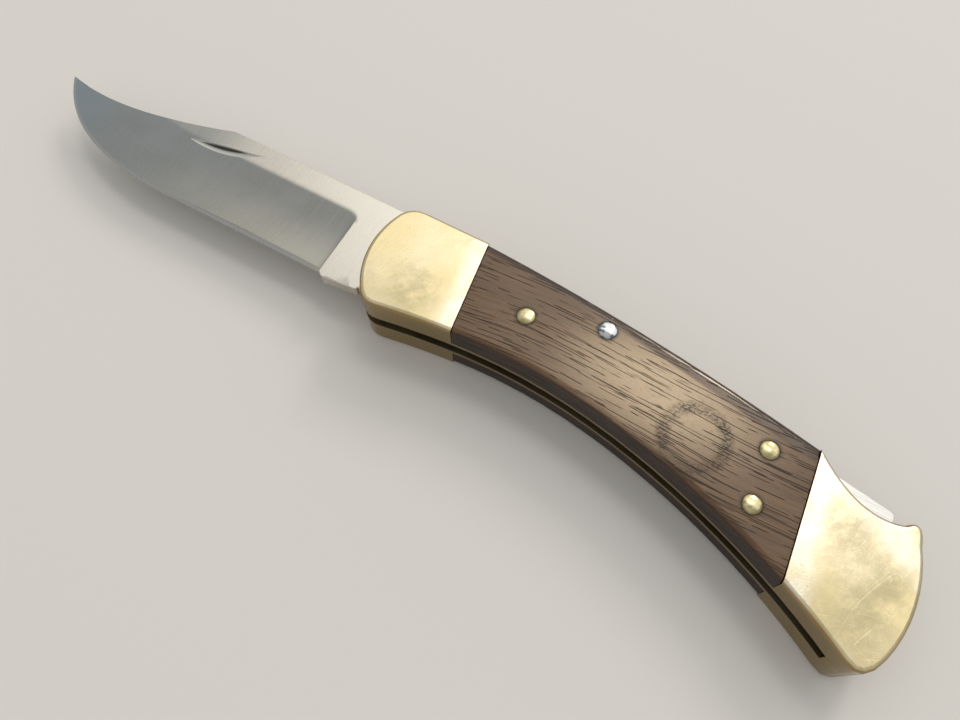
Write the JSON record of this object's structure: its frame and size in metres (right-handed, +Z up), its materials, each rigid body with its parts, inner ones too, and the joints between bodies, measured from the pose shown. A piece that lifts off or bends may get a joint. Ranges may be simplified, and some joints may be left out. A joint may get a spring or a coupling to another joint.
{
  "type": "folding pocket knife",
  "caption": "Lock-back folding pocket knife, open: clip-point blade with nail nick, brass bolsters, wooden scales, and a sprung lock bar in the back pressed at its tail to fold.",
  "frame": {"origin": "on the blade pivot's axis, in the plane of the lower front bolster's flat face, which the knife lies on", "axes": "+X along the handle from the blade pivot to the butt, with the open blade along -X; +Y to the knife's back, where the blade's spine and the lock bar are; +Z up, from the right side that it lies on to the left side that carries the nail nick"},
  "size_m": [0.219, 0.0449, 0.0165],
  "materials": {
    "blade_steel": "satin ground",
    "bar_steel": "satin ground",
    "spring_steel": "heat treated, left plain",
    "pin_steel": "peened and polished",
    "brass": "polished, finely scratched",
    "wood": "dark, resin-filled, buffed"
  },
  "bodies": {
    "handle": {"lock_spring": "spring_steel", "spring_holder": "brass", "left_liner": "brass", "left_front_bolster": "brass", "left_scale": "wood", "left_rear_bolster": "brass", "left_front_rivet": "brass", "left_rear_upper_rivet": "brass", "left_rear_lower_rivet": "brass", "right_liner": "brass", "right_front_bolster": "brass", "right_scale": "wood", "right_rear_bolster": "brass", "right_front_rivet": "brass", "right_rear_upper_rivet": "brass", "right_rear_lower_rivet": "brass", "blade_pivot_pin": "brass", "lock_bar_pin": "pin_steel", "rear_bolster_pin_upper": "brass", "rear_bolster_pin_lower": "brass"},
    "blade": {"blade": "blade_steel"},
    "lock_bar": {"lock_bar": "bar_steel"}
  },
  "joints": [
    {"name": "blade_pivot", "type": "hinge", "parent": "handle", "child": "blade", "pos_m": [0, 0, 0.00825], "axis": [0, 0, 1], "range_deg": [0, 171]},
    {"name": "lock_bar_rock", "type": "hinge", "parent": "handle", "child": "lock_bar", "pos_m": [0.0421, 0.0064, 0.00825], "axis": [0, 0, 1], "range_deg": [-2.6, 1.2], "stiffness_Nm_per_rad": 1, "deforming": ["lock_spring"]}
  ]
}
